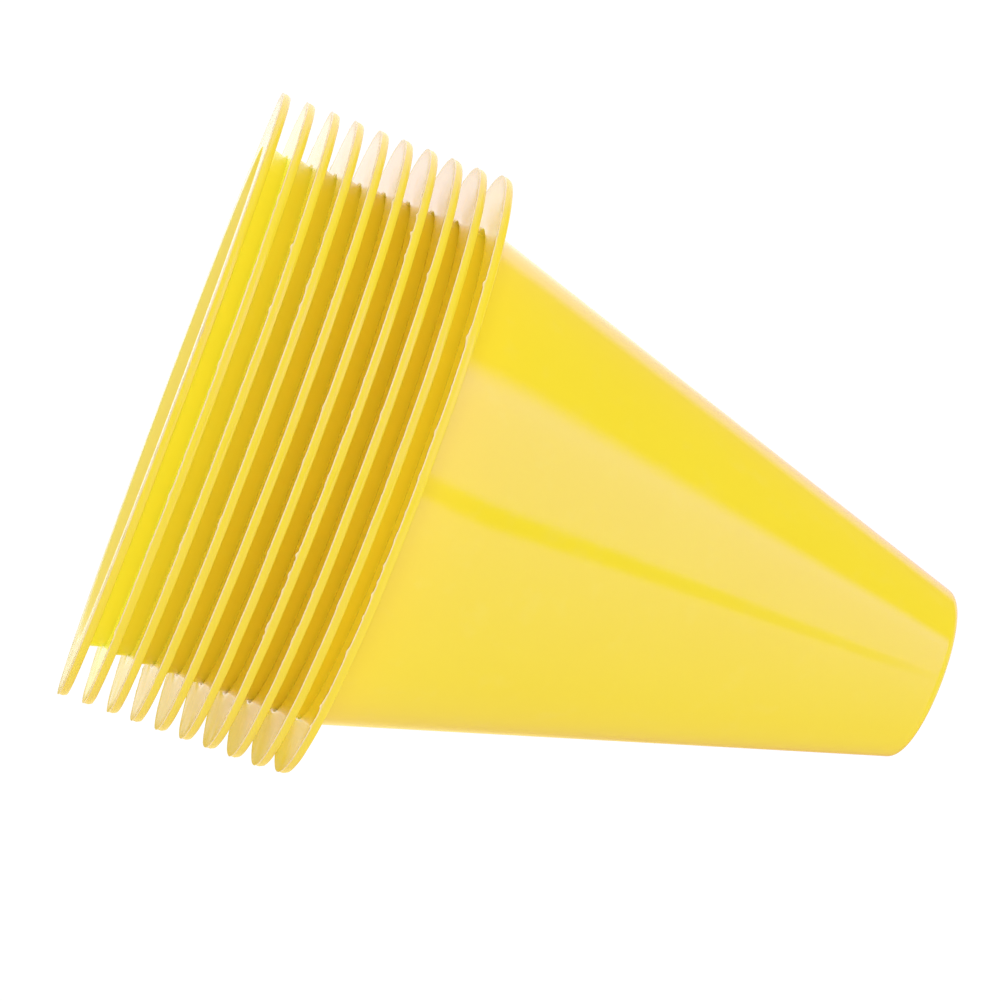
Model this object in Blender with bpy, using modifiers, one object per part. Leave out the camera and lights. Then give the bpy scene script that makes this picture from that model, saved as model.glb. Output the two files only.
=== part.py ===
"""Nested stack of ten wasp-trap entry cones.

Each cone is one thin moulding: a flat round brim, a tapering wall and a rounded nose with the
entry hole in its end. The stack stands on the innermost cone's brim, noses up, and every further
cone is slipped over the one below it. The origin is at the middle of the stack's lowest face, on
the common axis, and +Z runs from the brims to the noses.
"""

import math

import bpy

MM = 0.001

# Driving dimensions
CONE_COUNT = 10
BRIM_RADIUS = 37.5 * MM
BRIM_THICKNESS = 1.05 * MM
CONE_HEIGHT = 69.25 * MM
WALL_FOOT_RADIUS = 31.2 * MM  # outside of the wall where it leaves the brim
NOSE_CORNER_RADIUS = 10.45 * MM  # outside of the wall if it ran on to a sharp nose edge
NOSE_ROUNDING = 1.5 * MM
NOSE_END_THICKNESS = 0.95 * MM
ENTRY_HOLE_RADIUS = 5.0 * MM
WALL_THICKNESS = 0.6 * MM
STACK_STEP = 3.04 * MM  # from one brim to the next: square to the wall this is the wall and the nest's play

# Fineness of the turned shape
TURN_SEGMENTS = 36
OUTER_ARC_SEGMENTS = 4
INNER_ARC_SEGMENTS = 2

YELLOW = (0.90, 0.66, 0.04, 1.0)
SHARP_ANGLE = math.radians(35)

TAPER = math.atan2(WALL_FOOT_RADIUS - NOSE_CORNER_RADIUS, CONE_HEIGHT - BRIM_THICKNESS)


def outer_radius(z):
    """Outside radius of the straight wall at height z above the brim's underside."""
    return WALL_FOOT_RADIUS - (z - BRIM_THICKNESS) * math.tan(TAPER)


def inner_radius(z):
    """Inside radius of the straight wall at height z."""
    return outer_radius(z) - WALL_THICKNESS / math.cos(TAPER)


def nose_arc(corner_radius, end_height, rounding, segments):
    """Arc from the flat end round to the straight wall, as (radius, height) points.

    corner_radius is where the wall would meet the plane of the end, at end_height.
    """
    centre_radius = corner_radius + rounding * (math.tan(TAPER) - 1 / math.cos(TAPER))
    centre_height = end_height - rounding
    points = []
    for step in range(segments + 1):
        angle = math.pi / 2 + (TAPER - math.pi / 2) * step / segments
        points.append(
            (
                centre_radius + rounding * math.cos(angle),
                centre_height + rounding * math.sin(angle),
            )
        )
    return points


def cone_outline():
    """Closed outline of one cone, down the outside from the hole and back up the inside."""
    inner_end = CONE_HEIGHT - NOSE_END_THICKNESS
    inner_rounding = NOSE_ROUNDING - WALL_THICKNESS
    outside = nose_arc(NOSE_CORNER_RADIUS, CONE_HEIGHT, NOSE_ROUNDING, OUTER_ARC_SEGMENTS)
    inside = nose_arc(inner_radius(inner_end), inner_end, inner_rounding, INNER_ARC_SEGMENTS)
    brim = [
        (WALL_FOOT_RADIUS, BRIM_THICKNESS),
        (BRIM_RADIUS, BRIM_THICKNESS),
        (BRIM_RADIUS, 0.0),
        (inner_radius(0.0), 0.0),
    ]
    hole_top = (ENTRY_HOLE_RADIUS, CONE_HEIGHT)
    hole_foot = (ENTRY_HOLE_RADIUS, inner_end)
    return [hole_top, *outside, *brim, *reversed(inside), hole_foot]


def turned_mesh(name, outline):
    """Mesh turned about Z from a closed outline of (radius, height) points."""
    profile = bpy.data.meshes.new(name + "_profile")
    edges = [(i, (i + 1) % len(outline)) for i in range(len(outline))]
    profile.from_pydata([(radius, 0.0, height) for radius, height in outline], edges, [])
    lathe = bpy.data.objects.new(name + "_lathe", profile)
    bpy.context.scene.collection.objects.link(lathe)
    screw = lathe.modifiers.new("turn", "SCREW")
    screw.axis = "Z"
    screw.angle = 2 * math.pi
    screw.steps = TURN_SEGMENTS
    screw.render_steps = TURN_SEGMENTS
    screw.use_merge_vertices = True
    screw.merge_threshold = 0.01 * MM
    bpy.context.view_layer.update()
    evaluated = lathe.evaluated_get(bpy.context.evaluated_depsgraph_get())
    mesh = bpy.data.meshes.new_from_object(evaluated)
    mesh.name = name
    bpy.data.objects.remove(lathe)
    bpy.data.meshes.remove(profile)
    mesh.shade_smooth()
    mesh.set_sharp_from_angle(angle=SHARP_ANGLE)
    return mesh


def yellow_plastic():
    """Glossy yellow polypropylene."""
    material = bpy.data.materials.new("yellow_plastic")
    material.use_nodes = True
    shader = material.node_tree.nodes["Principled BSDF"]
    shader.inputs["Base Color"].default_value = YELLOW
    shader.inputs["Roughness"].default_value = 0.25
    shader.inputs["Metallic"].default_value = 0.0
    return material


def clear_scene():
    for thing in list(bpy.data.objects):
        bpy.data.objects.remove(thing)


def build():
    clear_scene()
    collection = bpy.data.collections.new("wasp_trap_cones")
    bpy.context.scene.collection.children.link(collection)
    axis = bpy.data.objects.new("stack_axis", None)
    collection.objects.link(axis)
    mesh = turned_mesh("trap_cone", cone_outline())
    mesh.materials.append(yellow_plastic())
    for number in range(CONE_COUNT):
        cone = bpy.data.objects.new(f"trap_cone_{number + 1:02d}", mesh)
        cone.location.z = number * STACK_STEP
        cone.parent = axis
        collection.objects.link(cone)


build()
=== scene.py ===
"""Nested yellow entry cones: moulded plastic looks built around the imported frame."""

import math
import operator
import random

import bpy
from mathutils import Euler, Matrix, Vector, noise


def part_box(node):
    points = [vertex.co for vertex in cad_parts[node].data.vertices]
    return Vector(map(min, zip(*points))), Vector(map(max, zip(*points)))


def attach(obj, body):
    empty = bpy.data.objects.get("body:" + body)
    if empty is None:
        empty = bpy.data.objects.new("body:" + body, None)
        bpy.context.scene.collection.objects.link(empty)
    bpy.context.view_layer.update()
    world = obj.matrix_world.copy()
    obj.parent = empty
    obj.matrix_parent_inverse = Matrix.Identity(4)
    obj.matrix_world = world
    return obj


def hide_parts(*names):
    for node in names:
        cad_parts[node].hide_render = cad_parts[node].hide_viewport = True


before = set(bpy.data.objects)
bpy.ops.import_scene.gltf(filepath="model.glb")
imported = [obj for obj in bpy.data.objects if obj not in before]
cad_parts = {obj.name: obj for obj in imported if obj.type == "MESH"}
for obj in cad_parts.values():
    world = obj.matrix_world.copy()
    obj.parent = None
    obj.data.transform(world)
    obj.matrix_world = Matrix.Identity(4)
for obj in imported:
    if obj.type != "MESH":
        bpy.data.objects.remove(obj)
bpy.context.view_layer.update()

bl_info = {
    "name": "Nested entry cones",
    "version": (1, 0, 0),
    "blender": (4, 5, 0),
    "location": "3D View > Sidebar > Cones",
    "description": "Builds a stack of nested yellow plastic cones and a plain studio around it",
    "category": "Add Mesh",
}

MM = 0.001

# Sizes read from the frame
CONE_NODES = sorted(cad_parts)
LOWEST_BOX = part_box(CONE_NODES[0])
BRIM_RADIUS = LOWEST_BOX[1].x
CONE_HEIGHT = LOWEST_BOX[1].z - LOWEST_BOX[0].z
LAST_GAP = len(CONE_NODES) - 2

# Small shapes of every cone
CORNER_ROUNDING = 0.12 * MM
SLANT_ANGLE = math.radians(30)
SMOOTH_UP_TO = math.radians(50)
# The lip of flash, from the top down: share of the flash it stands out by, and height
LIP_SHAPE = ((0.8, 0.09 * MM), (1.0, 0.04 * MM), (0.7, 0.0))

# Faults of a brim's edge: waves along the edge, more waves being finer
FINE_WAVES = 260
BROAD_WAVES = 90
PATCH_WAVES = 12
BURR_WAVES = 500
WARP_WAVES = 9
SMALL_WARP_WAVES = 40
# Draws for each cone: least and most; widths and heights in millimetres
FLASH_HANG = (0.8, 2.1)
LOWEST_FLASH_HANG = -0.8
BURR_COUNT = (7, 12)
BURR_WIDTH = (0.3, 1.1)
BURR_HEIGHT = (0.05, 0.2)
# Share of the flash that handling has worn off at two opposite sides
WORN_OFF = 0.85

# Painted glow, an emission colour standing in for light that the translucent plastic carries: shares of the
# first gap's light, and how many gaps it fades over
GAP_GLOW = 0.16
FIRST_GAP_FADE = 1.7
OPEN_END_GLOW = 0.25
OPEN_END_CORNER_GLOW = 0.7
OPEN_END_FADE = 0.7
MOUTH_FADE = 25 * MM
GAP_HEIGHT = 4 * MM

# Features of the plastic and the floor, to the metre
CLOUD_SCALE = 60
SCUFF_SCALE = 260
GRAIN_SCALE = 900
PIP_SCALE = 110
FLOOR_SCALE = 40
# Scuffs: part of the mask that shows, how much paler and how much rougher they are
SCUFF_BAND = (0.54, 0.74)
SCUFF_PALENESS = 0.03
SCUFF_ROUGHNESS = 0.05
# Pips: share of cells without one, and the largest one's size in its cell
PIPLESS = 0.93
PIP_SIZE = 0.035
PIP_DEPTH = 3 * MM
GRAIN_DEPTH = 0.05 * MM

FLOOR_SIDES = 180
FLOOR_DARK = (0.92, 0.92, 0.92)
FLOOR_LIGHT = (0.96, 0.96, 0.96)


class ConeSettings(bpy.types.PropertyGroup):
    """Shape of one cone and how freely the ten lie in each other."""

    brim_thickness: bpy.props.FloatProperty(
        name="Brim thickness",
        description="Thickness of the flat brim",
        default=1.05 * MM,
        unit="LENGTH",
        precision=5,
    )
    foot_radius: bpy.props.FloatProperty(
        name="Foot radius",
        description="Outside radius of the wall where it leaves the brim",
        default=31.2 * MM,
        unit="LENGTH",
        precision=5,
    )
    nose_radius: bpy.props.FloatProperty(
        name="Nose radius",
        description="Outside radius of the wall if it ran on to a sharp nose edge",
        default=10.45 * MM,
        unit="LENGTH",
        precision=5,
    )
    nose_rounding: bpy.props.FloatProperty(
        name="Nose rounding",
        description="Radius of the nose's outer edge",
        default=1.5 * MM,
        unit="LENGTH",
        precision=5,
    )
    nose_end: bpy.props.FloatProperty(
        name="Nose end",
        description="Thickness of the nose's flat end",
        default=0.95 * MM,
        unit="LENGTH",
        precision=5,
    )
    hole_radius: bpy.props.FloatProperty(
        name="Hole radius",
        description="Radius of the entry hole",
        default=5.0 * MM,
        unit="LENGTH",
        precision=5,
    )
    wall: bpy.props.FloatProperty(
        name="Wall",
        description="Thickness of the tapering wall",
        default=0.6 * MM,
        unit="LENGTH",
        precision=5,
    )
    edge_slant: bpy.props.FloatProperty(
        name="Edge slant",
        description="Height of the brim edge's slanting nose side",
        default=0.45 * MM,
        unit="LENGTH",
        precision=5,
    )
    edge_rounding: bpy.props.FloatProperty(
        name="Edge rounding",
        description="Radius where the slanting edge meets the brim's face",
        default=0.15 * MM,
        unit="LENGTH",
        precision=5,
    )
    root_fillet: bpy.props.FloatProperty(
        name="Root fillet",
        description="Radius in the corner between brim and wall",
        default=0.45 * MM,
        unit="LENGTH",
        precision=5,
    )
    flash: bpy.props.FloatProperty(
        name="Flash",
        description="How far the thin lip of flash stands out along the brim's parting edge",
        default=0.1 * MM,
        unit="LENGTH",
        precision=5,
    )
    warp: bpy.props.FloatProperty(
        name="Warp",
        description="How far a brim's edge wanders from flat",
        default=0.09 * MM,
        unit="LENGTH",
        precision=5,
    )
    looseness: bpy.props.FloatProperty(
        name="Looseness",
        description="How far a cone sits off its even place in the nest",
        default=0.04 * MM,
        unit="LENGTH",
        precision=5,
    )
    outer_lean: bpy.props.FloatProperty(
        name="Outer lean",
        description="How far the outermost cone leans in the nest",
        default=math.radians(0.18),
        subtype="ANGLE",
    )
    segments: bpy.props.IntProperty(
        name="Segments", description="Steps round each cone", default=900, min=36, max=1200
    )
    seed: bpy.props.IntProperty(name="Seed", description="Start of the random draws", default=7)


class PlasticSettings(bpy.types.PropertyGroup):
    """Colours and finish of the yellow plastic, and the colours of the glow painted into it."""

    body: bpy.props.FloatVectorProperty(
        name="Body",
        description="Colour of the moulded skin",
        subtype="COLOR",
        size=3,
        default=(0.97, 0.765, 0.03),
    )
    # Pale also paints a highlight on the flash lip along the brim's edge, besides the thin plastic and the
    # scuffs
    pale: bpy.props.FloatVectorProperty(
        name="Pale",
        description="Colour where the plastic is thin or scuffed",
        subtype="COLOR",
        size=3,
        default=(1.0, 0.82, 0.45),
    )
    deep: bpy.props.FloatVectorProperty(
        name="Deep",
        description="Colour where the pigment lies thicker",
        subtype="COLOR",
        size=3,
        default=(0.955, 0.735, 0.022),
    )
    # Painted glow: emission in the lowest cone's mouth, standing in for light through its wall
    painted_mouth_glow: bpy.props.FloatVectorProperty(
        name="Mouth light",
        description="Light that comes through the lowest cone's wall into its mouth",
        subtype="COLOR",
        size=3,
        default=(0.135, 0.165, 0.08),
    )
    # Painted glow: emission on the first gap's faces, standing in for light through the lowest brim
    painted_through_glow: bpy.props.FloatVectorProperty(
        name="Through light",
        description="Light that reaches the first gap through the lowest brim",
        subtype="COLOR",
        size=3,
        default=(0.05, 0.125, 0.015),
    )
    # Painted light: emission in the narrow corners between two cones, lifting the shade there
    painted_corner_glow: bpy.props.FloatVectorProperty(
        name="Corner light",
        description="Light kept in the narrow corners between two cones",
        subtype="COLOR",
        size=3,
        default=(0.02, 0.018, 0.0),
    )
    roughness: bpy.props.FloatProperty(
        name="Roughness",
        description="Roughness of the moulded skin",
        default=0.11,
        min=0.0,
        max=1.0,
        subtype="FACTOR",
    )
    rim_roughness: bpy.props.FloatProperty(
        name="Rim roughness",
        description="Roughness of the brim's edge",
        default=0.2,
        min=0.0,
        max=1.0,
        subtype="FACTOR",
    )
    depth: bpy.props.FloatProperty(
        name="Depth",
        description="How far light travels inside the plastic",
        default=1.2 * MM,
        unit="LENGTH",
        precision=5,
    )


class StageSettings(bpy.types.PropertyGroup):
    """Floor, lights and camera."""

    floor_radius: bpy.props.FloatProperty(
        name="Floor radius",
        description="Half the floor's width",
        default=4.0,
        unit="LENGTH",
    )
    surround: bpy.props.FloatProperty(
        name="Surround",
        description="Brightness of the surround above and below the ring",
        default=0.5,
        min=0.0,
    )
    one_side: bpy.props.FloatProperty(
        name="One side",
        description="Share by which the surround is brighter towards -X",
        default=0.035,
    )
    overhead: bpy.props.FloatProperty(
        name="Overhead",
        description="Brightness added to the surround overhead",
        default=1.2,
        min=0.0,
    )
    ring: bpy.props.FloatProperty(
        name="Ring",
        description="Brightness of the surround level with the horizon",
        default=1.74,
        min=0.0,
    )
    camera_distance: bpy.props.FloatProperty(
        name="Camera distance",
        description="From the stack's axis to the camera",
        default=0.42384,
        unit="LENGTH",
    )
    camera_height: bpy.props.FloatProperty(
        name="Camera height",
        description="Height of the camera over the floor",
        default=-0.00911,
        unit="LENGTH",
    )
    camera_rise: bpy.props.FloatProperty(
        name="Camera rise",
        description="How far the camera looks up from level",
        default=math.radians(6.755),
        subtype="ANGLE",
    )
    camera_turn: bpy.props.FloatProperty(
        name="Camera turn",
        description="How far the camera looks beside the stack's axis",
        default=math.radians(0.246),
        subtype="ANGLE",
    )
    camera_roll: bpy.props.FloatProperty(
        name="Camera roll",
        description="How far the camera is rolled, so that the standing stack seems to lie on its side",
        default=math.radians(110.56),
        subtype="ANGLE",
    )
    lens: bpy.props.FloatProperty(
        name="Lens", description="Focal length in millimetres", default=129.21
    )


def points_on_arc(centre, radius, start, end, count):
    """Points on an arc in the (radius, height) plane, ends included."""
    points = []
    for step in range(count + 1):
        angle = start + (end - start) * step / count
        points.append((centre[0] + radius * math.cos(angle), centre[1] + radius * math.sin(angle)))
    return points


def points_between(start, end, count):
    """Evenly spaced points strictly between two (radius, height) points."""
    points = []
    for step in range(1, count):
        share = step / count
        points.append((start[0] + (end[0] - start[0]) * share, start[1] + (end[1] - start[1]) * share))
    return points


def cone_outline(shape):
    """Closed outline of a cone with its small roundings, from the hole's top edge down the outside."""
    taper = math.atan2(shape.foot_radius - shape.nose_radius, CONE_HEIGHT - shape.brim_thickness)
    lean = math.tan(taper)
    inner_shift = shape.wall / math.cos(taper)

    def outer(height):
        return shape.foot_radius - (height - shape.brim_thickness) * lean

    def nose(corner, height, rounding, count):
        centre = (corner + rounding * (lean - 1 / math.cos(taper)), height - rounding)
        return points_on_arc(centre, rounding, math.pi / 2, taper, count)

    edge = shape.edge_rounding
    small = CORNER_ROUNDING
    inner_top = CONE_HEIGHT - shape.nose_end
    outside = nose(shape.nose_radius, CONE_HEIGHT, shape.nose_rounding, 9)
    inside = nose(outer(inner_top) - inner_shift, inner_top, shape.nose_rounding - shape.wall, 5)

    fillet = shape.root_fillet
    top = shape.brim_thickness
    fillet_centre = (shape.foot_radius - fillet * lean + fillet / math.cos(taper), top + fillet)
    root = points_on_arc(fillet_centre, fillet, math.pi + taper, 3 * math.pi / 2, 6)
    slant_foot = (BRIM_RADIUS, top - shape.edge_slant)
    slant_rise = shape.edge_slant - edge
    slant_run = slant_rise * math.tan(SLANT_ANGLE) + edge * math.cos(SLANT_ANGLE)
    shoulder = (BRIM_RADIUS - slant_run, top - edge)
    upper_edge = [*points_on_arc(shoulder, edge, math.pi / 2, SLANT_ANGLE, 4), slant_foot]
    lip = [(BRIM_RADIUS, 0.24 * MM), (BRIM_RADIUS + 0.02 * MM, 0.15 * MM)]
    lip += [(BRIM_RADIUS + shape.flash * share, height) for share, height in LIP_SHAPE]
    lip.append((BRIM_RADIUS - 0.05 * MM, 0.0))
    mouth = outer(0.0) - inner_shift
    mouth_edge = points_on_arc((mouth + small * 2, small * 2), small * 2, 3 * math.pi / 2, math.pi, 4)
    hole_side = shape.hole_radius + small
    hole_top = points_on_arc((hole_side, CONE_HEIGHT - small), small, math.pi, math.pi / 2, 3)
    hole_foot = points_on_arc((hole_side, inner_top + small), small, 3 * math.pi / 2, math.pi, 3)

    outline = [*hole_top, *points_between(hole_top[-1], outside[0], 4), *outside]
    outline += [*points_between(outside[-1], root[0], 8), *root]
    outline += [*points_between(root[-1], upper_edge[0], 6), *upper_edge]
    outline += lip
    outline += [*points_between(lip[-1], mouth_edge[0], 6), *mouth_edge]
    outline += [*points_between(mouth_edge[-1], inside[-1], 7), *reversed(inside)]
    outline += [*points_between(inside[0], hole_foot[0], 3), *hole_foot]
    return outline


def drift(angle, cycles, seed):
    """Smooth noise round a circle, about -1 to 1, that meets itself after a turn."""
    reach = cycles / math.tau
    return noise.noise(Vector((reach * math.cos(angle), reach * math.sin(angle), seed * 3.7)))


class BrimEdge:
    """How one brim's edge wanders: warp, wavy flash and a few larger burrs."""

    def __init__(self, shape, draws, number):
        self.shape = shape
        self.seed = number + 1.0
        self.warp = shape.warp * (0.0 if number == 0 else 1.0)
        self.hang = LOWEST_FLASH_HANG if number == 0 else draws.uniform(*FLASH_HANG)
        self.burrs = []
        for _ in range(draws.randint(*BURR_COUNT)):
            place = draws.uniform(0, math.tau)
            width = draws.uniform(*BURR_WIDTH) * MM
            self.burrs.append((place, width, draws.uniform(*BURR_HEIGHT) * MM))

    def flash(self, angle):
        """Extra stand-out of the lip at this angle, in metres. The sides the cones are held by are worn."""
        fine = max(0.0, drift(angle, FINE_WAVES, self.seed))
        fine += 0.8 * max(0.0, drift(angle, BROAD_WAVES, self.seed + 40))
        patchy = 0.35 + 1.3 * max(0.0, 0.4 + drift(angle, PATCH_WAVES, self.seed + 60))
        handled = 1 - WORN_OFF * math.cos(angle) ** 4
        stand = self.shape.flash * (1.5 * fine * patchy * handled - 0.15)
        for place, width, height in self.burrs:
            away = math.remainder(angle - place, math.tau) * BRIM_RADIUS / width
            if abs(away) < 3:
                rough = 0.75 + 0.5 * drift(angle, BURR_WAVES, self.seed + 9)
                stand += height * math.exp(-away * away) * rough * handled
        return stand

    def lift(self, angle):
        """Height of the brim's edge over its even place at this angle, in metres."""
        wave = drift(angle, WARP_WAVES, self.seed + 80)
        return self.warp * (wave + 0.35 * drift(angle, SMALL_WARP_WAVES, self.seed + 120))


def share_of(value):
    """A value kept between 0 and 1."""
    return min(1.0, max(0.0, value))


def painted_glow(shape, plastic, number, radius, height):
    """Painted glow: an emission colour that stands in for light the translucent brims carry into the gap
    that a point faces.

    The first gap gets most, through the lowest brim, the last gap gets some from the open outer cone,
    and the mouth and the narrow corners keep a little.
    """
    underside = height < shape.brim_thickness / 2
    gap = number - 1 if underside else number
    depth = share_of((BRIM_RADIUS - 0.3 * MM - radius) / (1.2 * MM))
    slope = (shape.foot_radius - shape.nose_radius) / CONE_HEIGHT
    inside = radius + slope * height < shape.foot_radius - shape.wall / 2
    # Shares of the painted glow: in the mouth, through the brims, and in the corners
    mouth, through, corner = 0.0, 0.0, 0.0
    if gap < 0 or (inside and number == 0):
        mouth = math.exp(-height / MOUTH_FADE)
    elif gap <= LAST_GAP and not inside and height < GAP_HEIGHT:
        open_end = math.exp((gap - LAST_GAP) / OPEN_END_FADE)
        through = GAP_GLOW + math.exp(-gap / FIRST_GAP_FADE) + OPEN_END_GLOW * open_end
        reach = shape.foot_radius + 1.5 * MM - radius if underside else height - 1.2 * MM
        corner = share_of(reach / (1.6 * MM)) + OPEN_END_CORNER_GLOW * open_end
    shares = (mouth, through, corner)
    colours = zip(plastic.painted_mouth_glow, plastic.painted_through_glow, plastic.painted_corner_glow)
    return [depth * sum(map(operator.mul, shares, channel)) for channel in colours] + [1.0]


def cone_mesh(name, shape, plastic, edge, number):
    """Mesh of one cone, its outline turned about Z with the brim's small faults."""
    outline = cone_outline(shape)
    count = len(outline)
    reach = BRIM_RADIUS - shape.foot_radius
    verts = []
    for segment in range(shape.segments):
        angle = math.tau * segment / shape.segments
        cosine, sine = math.cos(angle), math.sin(angle)
        stand, lift = edge.flash(angle), edge.lift(angle)
        for radius, height in outline:
            out = max(0.0, (radius - shape.foot_radius) / reach)
            extra = max(0.0, (radius - BRIM_RADIUS) / shape.flash)
            spread = radius + stand * extra
            hang = edge.hang * max(0.0, stand) * extra
            verts.append((spread * cosine, spread * sine, height + lift * out * out - hang))
    faces = []
    for segment in range(shape.segments):
        here, there = segment * count, (segment + 1) % shape.segments * count
        for point in range(count):
            after = (point + 1) % count
            faces.append((here + point, here + after, there + after, there + point))
    mesh = bpy.data.meshes.new(name)
    mesh.from_pydata(verts, [], faces)
    masks = {
        "rim": [share_of(1 + (radius - BRIM_RADIUS) / (0.35 * MM)) for radius, _ in outline],
        "lip": [share_of((radius - BRIM_RADIUS) / (0.08 * MM)) for radius, _ in outline],
    }
    for mask, values in masks.items():
        attribute = mesh.attributes.new(mask, "FLOAT", "POINT")
        attribute.data.foreach_set("value", values * shape.segments)
    # Painted glow of each point, kept as a colour attribute that feeds the emission
    light = []
    for radius, height in outline:
        light += painted_glow(shape, plastic, number, radius, height)
    attribute = mesh.attributes.new("painted_glow", "FLOAT_COLOR", "POINT")
    attribute.data.foreach_set("color", light * shape.segments)
    mesh.shade_smooth()
    mesh.set_sharp_from_angle(angle=SMOOTH_UP_TO)
    return mesh


def nest_place(shape, draws, number):
    """Small shift and lean of a cone in the nest, about its own foot. The lowest one stands true."""
    rise = draws.uniform(-1, 1) * shape.looseness
    if number == 0:
        return Matrix.Identity(4)
    if number < len(CONE_NODES) - 1:
        return Matrix.Translation((0, 0, rise))
    lean = Matrix.Rotation(shape.outer_lean, 4, "Y")
    pivot = Matrix.Translation((0, 0, CONE_HEIGHT))
    return Matrix.Translation((0, 0, rise)) @ pivot @ lean @ pivot.inverted()


def add_node(tree, kind, place, **values):
    """Adds a node at a place in the tree, setting the named properties."""
    node = tree.nodes.new(kind)
    node.location = place
    for key, value in values.items():
        setattr(node, key, value)
    return node


def fade(tree, value, start, end, place):
    """Smooth step of a value, 0 at start and 1 at end."""
    step = add_node(tree, "ShaderNodeMapRange", place, interpolation_type="SMOOTHSTEP")
    step.inputs["From Min"].default_value = start
    step.inputs["From Max"].default_value = end
    tree.links.new(value, step.inputs["Value"])
    return step.outputs[0]


def blend(tree, factor, first, second, place):
    """Colour mix by a factor; either colour may be plain or come from a node."""
    mix = add_node(tree, "ShaderNodeMix", place, data_type="RGBA")
    tree.links.new(factor, mix.inputs["Factor"])
    for socket, colour in ((mix.inputs["A"], first), (mix.inputs["B"], second)):
        if isinstance(colour, bpy.types.NodeSocket):
            tree.links.new(colour, socket)
        else:
            socket.default_value = (*colour, 1)
    return mix.outputs["Result"]


def product(tree, masks, place):
    """Several masks multiplied together."""
    result = masks[0]
    for number, mask in enumerate(masks[1:]):
        times = add_node(tree, "ShaderNodeMath", (place[0] + 40 * number, place[1]), operation="MULTIPLY")
        tree.links.new(result, times.inputs[0])
        tree.links.new(mask, times.inputs[1])
        result = times.outputs[0]
    return result


def grain_group():
    """Node group that gives a cloudy mask over a surface, 0 to 1, at a chosen scale and detail."""
    group = bpy.data.node_groups.new("cloudy_grain", "ShaderNodeTree")
    for name, value in (("Scale", 60.0), ("Detail", 3.0)):
        socket = group.interface.new_socket(name, in_out="INPUT", socket_type="NodeSocketFloat")
        socket.default_value = value
    group.interface.new_socket("Mask", in_out="OUTPUT", socket_type="NodeSocketFloat")
    start = add_node(group, "NodeGroupInput", (-600, 0))
    end = add_node(group, "NodeGroupOutput", (200, 0))
    place = add_node(group, "ShaderNodeTexCoord", (-600, 250))
    cloud = add_node(group, "ShaderNodeTexNoise", (-300, 0))
    group.links.new(place.outputs["Object"], cloud.inputs["Vector"])
    group.links.new(start.outputs["Scale"], cloud.inputs["Scale"])
    group.links.new(start.outputs["Detail"], cloud.inputs["Detail"])
    group.links.new(cloud.outputs["Fac"], end.inputs["Mask"])
    return group


def grain_mask(tree, scale, detail, place):
    """Places the grain group, built once, in a material."""
    group = bpy.data.node_groups.get("cloudy_grain") or grain_group()
    node = add_node(tree, "ShaderNodeGroup", place, node_tree=group)
    node.inputs["Scale"].default_value = scale
    node.inputs["Detail"].default_value = detail
    return node.outputs["Mask"]


def pip_mask(tree, place):
    """A few tiny round pips of trapped grit, far apart, each of its own size."""
    link = tree.links.new
    cells = add_node(tree, "ShaderNodeTexVoronoi", (place[0] - 600, place[1]))
    cells.inputs["Scale"].default_value = PIP_SCALE
    surface = add_node(tree, "ShaderNodeTexCoord", (place[0] - 800, place[1]))
    link(surface.outputs["Object"], cells.inputs["Vector"])
    draw = add_node(tree, "ShaderNodeSeparateColor", (place[0] - 400, place[1] - 150))
    link(cells.outputs["Color"], draw.inputs[0])
    size = add_node(tree, "ShaderNodeMapRange", (place[0] - 200, place[1] - 150))
    link(draw.outputs[0], size.inputs["Value"])
    size.inputs["From Min"].default_value = PIPLESS
    size.inputs["To Max"].default_value = PIP_SIZE
    pip = add_node(tree, "ShaderNodeMath", place, operation="SUBTRACT", use_clamp=True)
    link(size.outputs[0], pip.inputs[0])
    link(cells.outputs["Distance"], pip.inputs[1])
    return pip.outputs[0]


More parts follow.
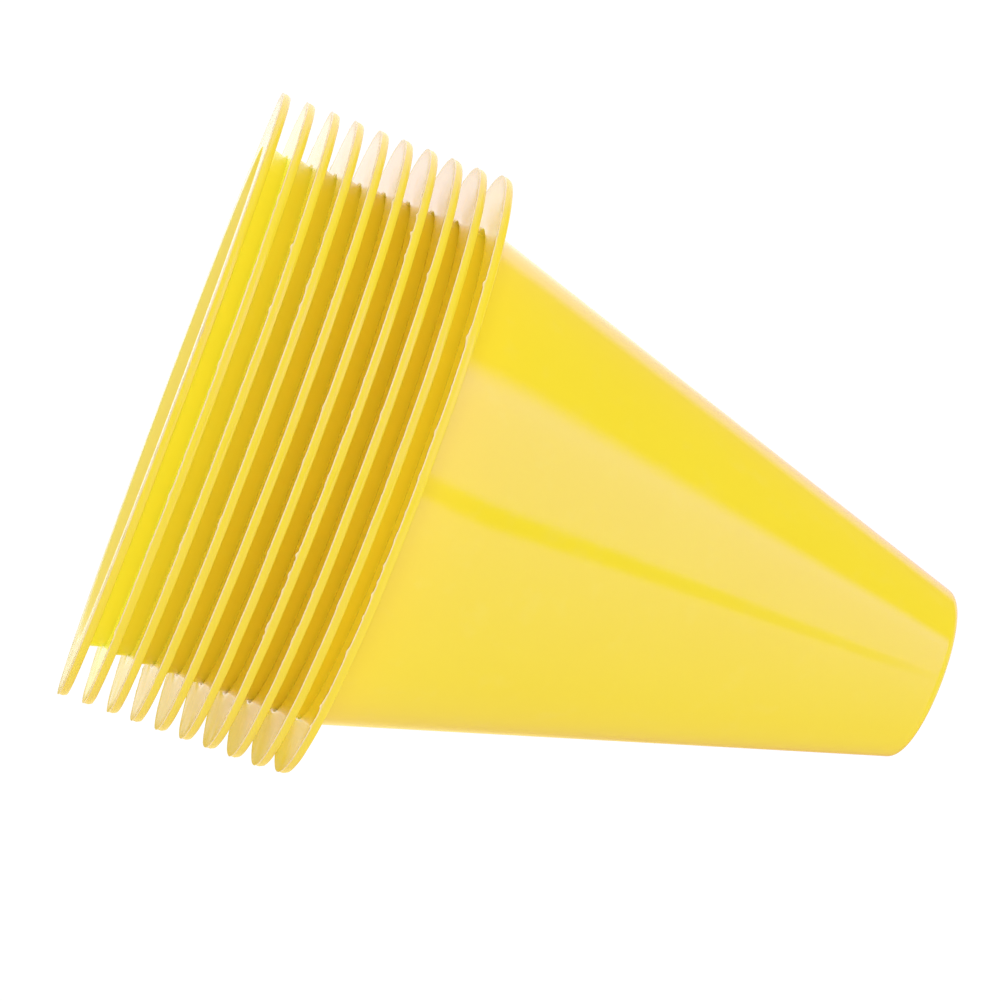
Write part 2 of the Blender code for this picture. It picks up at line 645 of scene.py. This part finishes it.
def yellow_plastic(plastic):
    """Glossy, slightly translucent yellow plastic, scuffed here and there; the brim's edge is paler, partly
    from its thin plastic and partly from a painted highlight, and an emission colour paints glow into the
    mouth, the gaps and their corners.
    """
    material = bpy.data.materials.new("yellow_plastic_skin")
    material.use_nodes = True
    tree = material.node_tree
    link = tree.links.new
    shader = tree.nodes["Principled BSDF"]
    shader.inputs["IOR"].default_value = 1.49
    shader.inputs["Subsurface Weight"].default_value = 0.15
    shader.inputs["Subsurface Radius"].default_value = (1.0, 0.85, 0.2)
    shader.inputs["Subsurface Scale"].default_value = plastic.depth

    rim = add_node(tree, "ShaderNodeAttribute", (-940, -350), attribute_name="rim")
    lip = add_node(tree, "ShaderNodeAttribute", (-940, -100), attribute_name="lip")
    scuffs = fade(tree, grain_mask(tree, SCUFF_SCALE, 6, (-1140, -550)), *SCUFF_BAND, (-940, -550))

    cloud = grain_mask(tree, CLOUD_SCALE, 4, (-940, 250))
    skin = blend(tree, cloud, plastic.deep, plastic.body, (-740, 250))
    worn = add_node(tree, "ShaderNodeMath", (-740, 0), operation="MULTIPLY")
    link(scuffs, worn.inputs[0])
    worn.inputs[1].default_value = SCUFF_PALENESS
    skin = blend(tree, worn.outputs[0], skin, plastic.pale, (-540, 200))
    # Paler flash lip: partly the thin plastic's own tone, partly a painted highlight along the parting edge
    skin = blend(tree, lip.outputs["Fac"], skin, plastic.pale, (-340, 150))
    link(skin, shader.inputs["Base Color"])

    # Painted glow: the per-point emission colour lights the mouth, the gaps and their corners
    glow_paint = add_node(tree, "ShaderNodeAttribute", (-340, 450), attribute_name="painted_glow")
    link(glow_paint.outputs["Color"], shader.inputs["Emission Color"])
    shader.inputs["Emission Strength"].default_value = 1.0

    rough = add_node(tree, "ShaderNodeMapRange", (-740, -300))
    link(rim.outputs["Fac"], rough.inputs["Value"])
    rough.inputs["To Min"].default_value = plastic.roughness
    rough.inputs["To Max"].default_value = plastic.rim_roughness
    scuffed = add_node(tree, "ShaderNodeMath", (-540, -300), operation="MULTIPLY_ADD")
    link(scuffs, scuffed.inputs[0])
    scuffed.inputs[1].default_value = SCUFF_ROUGHNESS
    link(rough.outputs[0], scuffed.inputs[2])
    link(scuffed.outputs[0], shader.inputs["Roughness"])

    grain = add_node(tree, "ShaderNodeBump", (-380, -800))
    grain.inputs["Strength"].default_value = 0.1
    grain.inputs["Distance"].default_value = GRAIN_DEPTH
    link(grain_mask(tree, GRAIN_SCALE, 3, (-600, -800)), grain.inputs["Height"])
    pips = add_node(tree, "ShaderNodeBump", (-180, -900))
    pips.inputs["Strength"].default_value = 0.8
    pips.inputs["Distance"].default_value = PIP_DEPTH
    link(pip_mask(tree, (-380, -1100)), pips.inputs["Height"])
    link(grain.outputs[0], pips.inputs["Normal"])
    link(pips.outputs[0], shader.inputs["Normal"])
    return material


class CONES_OT_stack(bpy.types.Operator):
    """Build the nested cones, one for each node of the frame."""

    bl_idname = "cones.stack"
    bl_label = "Nested cones"

    def execute(self, context):
        shape = context.scene.cone_shape
        plastic = context.scene.cone_plastic
        material = yellow_plastic(plastic)
        draws = random.Random(shape.seed)
        for number, node in enumerate(CONE_NODES):
            name = node.replace("trap_cone", "moulded_cone")
            mesh = cone_mesh(name, shape, plastic, BrimEdge(shape, draws, number), number)
            mesh.transform(nest_place(shape, draws, number))
            mesh.materials.append(material)
            cone = bpy.data.objects.new(name, mesh)
            context.scene.collection.objects.link(cone)
            cone.location.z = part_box(node)[0].z
            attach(cone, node)
            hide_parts(node)
        return {"FINISHED"}


def floor_material():
    """Pale matt floor that shows only from above."""
    material = bpy.data.materials.new("pale_floor")
    material.use_nodes = True
    tree = material.node_tree
    link = tree.links.new
    shader = tree.nodes["Principled BSDF"]
    shader.inputs["Roughness"].default_value = 0.9
    shader.inputs["Specular IOR Level"].default_value = 0.15
    shade = grain_mask(tree, FLOOR_SCALE, 2, (-700, 0))
    link(blend(tree, shade, FLOOR_DARK, FLOOR_LIGHT, (-400, 0)), shader.inputs["Base Color"])
    side = add_node(tree, "ShaderNodeNewGeometry", (-200, 300))
    clear = add_node(tree, "ShaderNodeBsdfTransparent", (100, -300))
    both = add_node(tree, "ShaderNodeMixShader", (400, 0))
    link(side.outputs["Backfacing"], both.inputs[0])
    link(shader.outputs[0], both.inputs[1])
    link(clear.outputs[0], both.inputs[2])
    link(both.outputs[0], tree.nodes["Material Output"].inputs["Surface"])
    return material


def add_floor(stage):
    """Round floor, wide enough that its far edge lies level behind the cones."""
    edge = []
    for side in range(FLOOR_SIDES):
        angle = math.tau * side / FLOOR_SIDES
        edge.append((stage.floor_radius * math.cos(angle), stage.floor_radius * math.sin(angle), 0))
    mesh = bpy.data.meshes.new("floor")
    mesh.from_pydata(edge, [], [tuple(range(FLOOR_SIDES))])
    mesh.materials.append(floor_material())
    floor = bpy.data.objects.new("floor", mesh)
    bpy.context.scene.collection.objects.link(floor)
    floor.visible_diffuse = False
    floor.visible_glossy = False
    floor.visible_shadow = False


# What the gloss mirrors round the compass, from +X towards +Y: angle in degrees, colour.
CARD_COLOURS = (
    (-180, (0.5, 0.25, 0.3)),
    (-162, (0.5, 0.25, 0.3)),
    (-151, (0.9, 0.35, 4.4)),
    (-140, (0.9, 0.3, 3.8)),
    (-112, (0.9, 0.3, 3.4)),
    (-94, (0.9, 0.3, 3.1)),
    (-80, (0.85, 0.3, 2.6)),
    (-60, (0.8, 0.3, 2.15)),
    (-30, (0.8, 0.3, 1.6)),
    (10, (0.75, 0.3, 0.8)),
    (40, (0.7, 0.3, 0.45)),
    (76, (0.7, 0.35, 0.22)),
    (86, (1.0, 0.72, 0.85)),
    (126, (1.05, 0.66, 1.1)),
    (134, (0.75, 0.4, 0.3)),
    (180, (0.5, 0.25, 0.3)),
)
# The same for a low ring level with the horizon.
RING_COLOURS = (
    (-180, (0.9, 0.6, 3.0)),
    (-120, (0.9, 0.6, 3.3)),
    (-95, (0.9, 0.5, 2.8)),
    (-70, (0.9, 0.4, 1.4)),
    (0, (0.9, 0.4, 1.0)),
    (60, (0.85, 0.5, 0.35)),
    (80, (1.1, 0.9, 0.5)),
    (87, (1.1, 0.95, 0.7)),
    (92, (1.2, 1.1, 1.05)),
    (102, (1.2, 1.1, 1.1)),
    (125, (1.1, 0.85, 1.0)),
    (150, (1.0, 0.7, 1.8)),
    (180, (0.9, 0.6, 3.0)),
)

# Other parts of the surround that gloss mirrors: colour, and the heights (1 straight up, -1 straight down)
# between which each takes over from what lies beside it
SLIT_COLOUR = (0.3, 0.2, 0.2)
SLIT_BELOW = (0.84, 0.66)
PLAIN_COLOUR = (0.95, 0.85, 0.85)
PLAIN_BELOW = (0.46, 0.4)
PLAIN_ABOVE = (0.125, 0.145)
RING_BELOW = (0.3, 0.17)
LOW_COLOUR = (1.2, 1.1, 1.08)
LOW_BELOW = (0.0, -0.02)
GOLDEN_COLOUR = (0.82, 0.6, 0.0)
GOLDEN_BELOW = (-0.02, -0.085)
TABLE_COLOUR = (1.3, 1.15, 1.2)
TABLE_BELOW = (-0.25, -0.55)
CEILING_COLOUR = (0.6, 0.5, 0.7)
CEILING_ABOVE = (0.8, 0.9)
# The dark slit between two cards: where it crosses the horizon, how it slants, and its half width
SLIT_TURN = math.radians(-55)
SLIT_SLANT = math.radians(50)
SLIT_WIDTH = (math.radians(8), math.radians(4))
# The plain band's middle and how it ends to either side, and the golden band's two ends
PLAIN_TURN = math.radians(-117)
PLAIN_SIDES = (0.2, 0.35)
GOLDEN_START = (math.radians(20), math.radians(40))
GOLDEN_END = (math.radians(90), math.radians(87))
# Heights over which the ring of soft light dims, and over which the overhead light sets in
RING_EDGE = (0.12, 0.45)
OVERHEAD_EDGE = (0.8, 0.95)
BACKDROP_WHITE = 1.05


def colour_round(tree, turn, colours, place):
    """Colour by compass direction, blended between the listed angles."""
    cards = add_node(tree, "ShaderNodeValToRGB", place)
    ramp = cards.color_ramp
    brightest = max(max(colour) for _, colour in colours)
    for number, (angle, colour) in enumerate(colours):
        share = (angle + 180) / 360
        if 0 < number < len(colours) - 1:
            stop = ramp.elements.new(share)
        else:
            stop = ramp.elements[min(number, len(ramp.elements) - 1)]
        stop.position = share
        stop.color = (*(value / brightest for value in colour), 1)
    tree.links.new(turn, cards.inputs[0])
    lit = add_node(tree, "ShaderNodeVectorMath", (place[0] + 300, place[1]), operation="SCALE")
    lit.inputs["Scale"].default_value = brightest
    tree.links.new(cards.outputs["Color"], lit.inputs[0])
    return lit.outputs[0]


def surround_gloss(tree):
    """Colour of the surround as gloss mirrors it: upright cards, low ring, bright table and dim ceiling."""
    link = tree.links.new
    place = add_node(tree, "ShaderNodeTexCoord", (-1500, -200))
    split = add_node(tree, "ShaderNodeSeparateXYZ", (-1300, -200))
    link(place.outputs["Generated"], split.inputs[0])
    compass = add_node(tree, "ShaderNodeMath", (-1100, -100), operation="ARCTAN2")
    link(split.outputs["Y"], compass.inputs[0])
    link(split.outputs["X"], compass.inputs[1])
    turn = add_node(tree, "ShaderNodeMapRange", (-900, -100))
    turn.inputs["From Min"].default_value = -math.pi
    turn.inputs["From Max"].default_value = math.pi
    link(compass.outputs[0], turn.inputs["Value"])
    height = split.outputs["Z"]
    around = compass.outputs[0]

    seen = colour_round(tree, turn.outputs[0], CARD_COLOURS, (-700, -100))
    slant = add_node(tree, "ShaderNodeMath", (-1100, 200), operation="MULTIPLY_ADD")
    link(height, slant.inputs[0])
    slant.inputs[1].default_value = SLIT_SLANT
    link(around, slant.inputs[2])
    slit = add_node(tree, "ShaderNodeMath", (-900, 200), operation="SUBTRACT")
    link(slant.outputs[0], slit.inputs[0])
    slit.inputs[1].default_value = SLIT_TURN
    away = add_node(tree, "ShaderNodeMath", (-700, 200), operation="ABSOLUTE")
    link(slit.outputs[0], away.inputs[0])
    gap = product(tree, (
        fade(tree, away.outputs[0], *SLIT_WIDTH, (-500, 200)),
        fade(tree, height, *SLIT_BELOW, (-500, 400)),
    ), (-300, 300))
    seen = blend(tree, gap, seen, SLIT_COLOUR, (-100, 100))
    ring = colour_round(tree, turn.outputs[0], RING_COLOURS, (-700, -500))
    seen = blend(tree, fade(tree, height, *RING_BELOW, (-500, -700)), seen, ring, (100, 0))
    facing = add_node(tree, "ShaderNodeVectorMath", (-900, 700), operation="DOT_PRODUCT")
    link(place.outputs["Generated"], facing.inputs[0])
    facing.inputs[1].default_value = (math.cos(PLAIN_TURN), math.sin(PLAIN_TURN), 0)
    plain = product(tree, (
        fade(tree, height, *PLAIN_BELOW, (-700, 700)),
        fade(tree, height, *PLAIN_ABOVE, (-700, 900)),
        fade(tree, facing.outputs["Value"], *PLAIN_SIDES, (-500, 700)),
    ), (-300, 700))
    seen = blend(tree, plain, seen, PLAIN_COLOUR, (150, 0))
    seen = blend(tree, fade(tree, height, *LOW_BELOW, (-500, -900)), seen, LOW_COLOUR, (200, 0))
    golden = product(tree, (
        fade(tree, around, *GOLDEN_START, (-700, -800)),
        fade(tree, around, *GOLDEN_END, (-500, -800)),
        fade(tree, height, *GOLDEN_BELOW, (-500, -1000)),
    ), (-300, -800))
    seen = blend(tree, golden, seen, GOLDEN_COLOUR, (300, 0))
    seen = blend(tree, fade(tree, height, *TABLE_BELOW, (-500, -1200)), seen, TABLE_COLOUR, (400, 0))
    return blend(tree, fade(tree, height, *CEILING_ABOVE, (-500, -1400)), seen, CEILING_COLOUR, (500, 0))


def surround_ring(tree, stage):
    """Strength of the soft light: a bright ring level with the horizon, dimmer above and below."""
    link = tree.links.new
    place = add_node(tree, "ShaderNodeTexCoord", (-1500, 300))
    split = add_node(tree, "ShaderNodeSeparateXYZ", (-1300, 300))
    link(place.outputs["Generated"], split.inputs[0])
    height = add_node(tree, "ShaderNodeMath", (-1100, 300), operation="ABSOLUTE")
    link(split.outputs["Z"], height.inputs[0])
    ring = add_node(tree, "ShaderNodeMapRange", (-900, 300), interpolation_type="SMOOTHSTEP")
    ring.inputs["From Min"].default_value = RING_EDGE[0]
    ring.inputs["From Max"].default_value = RING_EDGE[1]
    ring.inputs["To Min"].default_value = stage.ring
    ring.inputs["To Max"].default_value = stage.surround
    link(height.outputs[0], ring.inputs["Value"])
    top = add_node(tree, "ShaderNodeMapRange", (-900, 600), interpolation_type="SMOOTHSTEP")
    top.inputs["From Min"].default_value = OVERHEAD_EDGE[0]
    top.inputs["From Max"].default_value = OVERHEAD_EDGE[1]
    top.inputs["To Max"].default_value = stage.overhead
    link(split.outputs["Z"], top.inputs["Value"])
    both = add_node(tree, "ShaderNodeMath", (-600, 400), operation="ADD")
    link(ring.outputs[0], both.inputs[0])
    link(top.outputs[0], both.inputs[1])
    side = add_node(tree, "ShaderNodeMath", (-600, 200), operation="MULTIPLY_ADD")
    link(split.outputs["X"], side.inputs[0])
    side.inputs[1].default_value = -stage.one_side
    side.inputs[2].default_value = 1.0
    sided = add_node(tree, "ShaderNodeMath", (-400, 300), operation="MULTIPLY")
    link(both.outputs[0], sided.inputs[0])
    link(side.outputs[0], sided.inputs[1])
    return sided.outputs[0]


def add_surround(stage):
    """Even pale surround for light, upright cards for gloss, and plain white for the eye."""
    world = bpy.data.worlds.new("studio_surround")
    bpy.context.scene.world = world
    world.use_nodes = True
    tree = world.node_tree
    link = tree.links.new
    even = tree.nodes["Background"]
    even.inputs["Color"].default_value = (1, 1, 1, 1)
    link(surround_ring(tree, stage), even.inputs["Strength"])
    glossy = add_node(tree, "ShaderNodeBackground", (300, -200))
    link(surround_gloss(tree), glossy.inputs["Color"])
    white = add_node(tree, "ShaderNodeBackground", (300, -400))
    white.inputs["Color"].default_value = (1, 1, 1, 1)
    white.inputs["Strength"].default_value = BACKDROP_WHITE
    path = add_node(tree, "ShaderNodeLightPath", (300, 300))
    inner = add_node(tree, "ShaderNodeMixShader", (550, 0))
    link(path.outputs["Is Glossy Ray"], inner.inputs[0])
    link(even.outputs[0], inner.inputs[1])
    link(glossy.outputs[0], inner.inputs[2])
    outer = add_node(tree, "ShaderNodeMixShader", (750, 0))
    link(path.outputs["Is Camera Ray"], outer.inputs[0])
    link(inner.outputs[0], outer.inputs[1])
    link(white.outputs[0], outer.inputs[2])
    link(outer.outputs[0], tree.nodes["World Output"].inputs["Surface"])


def add_camera(stage):
    """Camera in front of the stack, close to the floor, looking up a little and rolled on its side."""
    data = bpy.data.cameras.new("camera")
    data.sensor_width = 36
    data.lens = stage.lens
    data.clip_start = 0.01
    data.clip_end = 20
    camera = bpy.data.objects.new("camera", data)
    bpy.context.scene.collection.objects.link(camera)
    camera.location = (0, -stage.camera_distance, stage.camera_height)
    aim = Euler((math.pi / 2 + stage.camera_rise, 0, stage.camera_turn)).to_matrix()
    roll = Matrix.Rotation(stage.camera_roll, 3, "Z")
    camera.rotation_euler = (aim @ roll).to_euler()
    bpy.context.scene.camera = camera


class CONES_OT_stage(bpy.types.Operator):
    """Set up the floor, the surround and the camera."""

    bl_idname = "cones.stage"
    bl_label = "Studio"

    def execute(self, context):
        stage = context.scene.cone_stage
        add_floor(stage)
        add_surround(stage)
        add_camera(stage)
        context.scene.view_settings.view_transform = "Standard"
        context.scene.cycles.diffuse_bounces = 10
        context.scene.cycles.glossy_bounces = 6
        context.scene.cycles.max_bounces = 14
        return {"FINISHED"}


class CONES_PT_panel(bpy.types.Panel):
    """Panel that lists the cone builder's steps."""

    bl_label = "Nested cones"
    bl_space_type = "VIEW_3D"
    bl_region_type = "UI"
    bl_category = "Cones"

    def draw(self, context):
        for step in (CONES_OT_stack, CONES_OT_stage):
            self.layout.operator(step.bl_idname)


CLASSES = (ConeSettings, PlasticSettings, StageSettings, CONES_OT_stack, CONES_OT_stage, CONES_PT_panel)


def register():
    """Register the classes and put the three groups of settings on the scene."""
    for item in CLASSES:
        bpy.utils.register_class(item)
    bpy.types.Scene.cone_shape = bpy.props.PointerProperty(type=ConeSettings)
    bpy.types.Scene.cone_plastic = bpy.props.PointerProperty(type=PlasticSettings)
    bpy.types.Scene.cone_stage = bpy.props.PointerProperty(type=StageSettings)


def unregister():
    """Take the settings and the classes away again."""
    del bpy.types.Scene.cone_stage
    del bpy.types.Scene.cone_plastic
    del bpy.types.Scene.cone_shape
    for item in reversed(CLASSES):
        bpy.utils.unregister_class(item)


def main():
    """Build everything."""
    register()
    bpy.ops.cones.stack()
    bpy.ops.cones.stage()


if __name__ == "__main__":
    main()
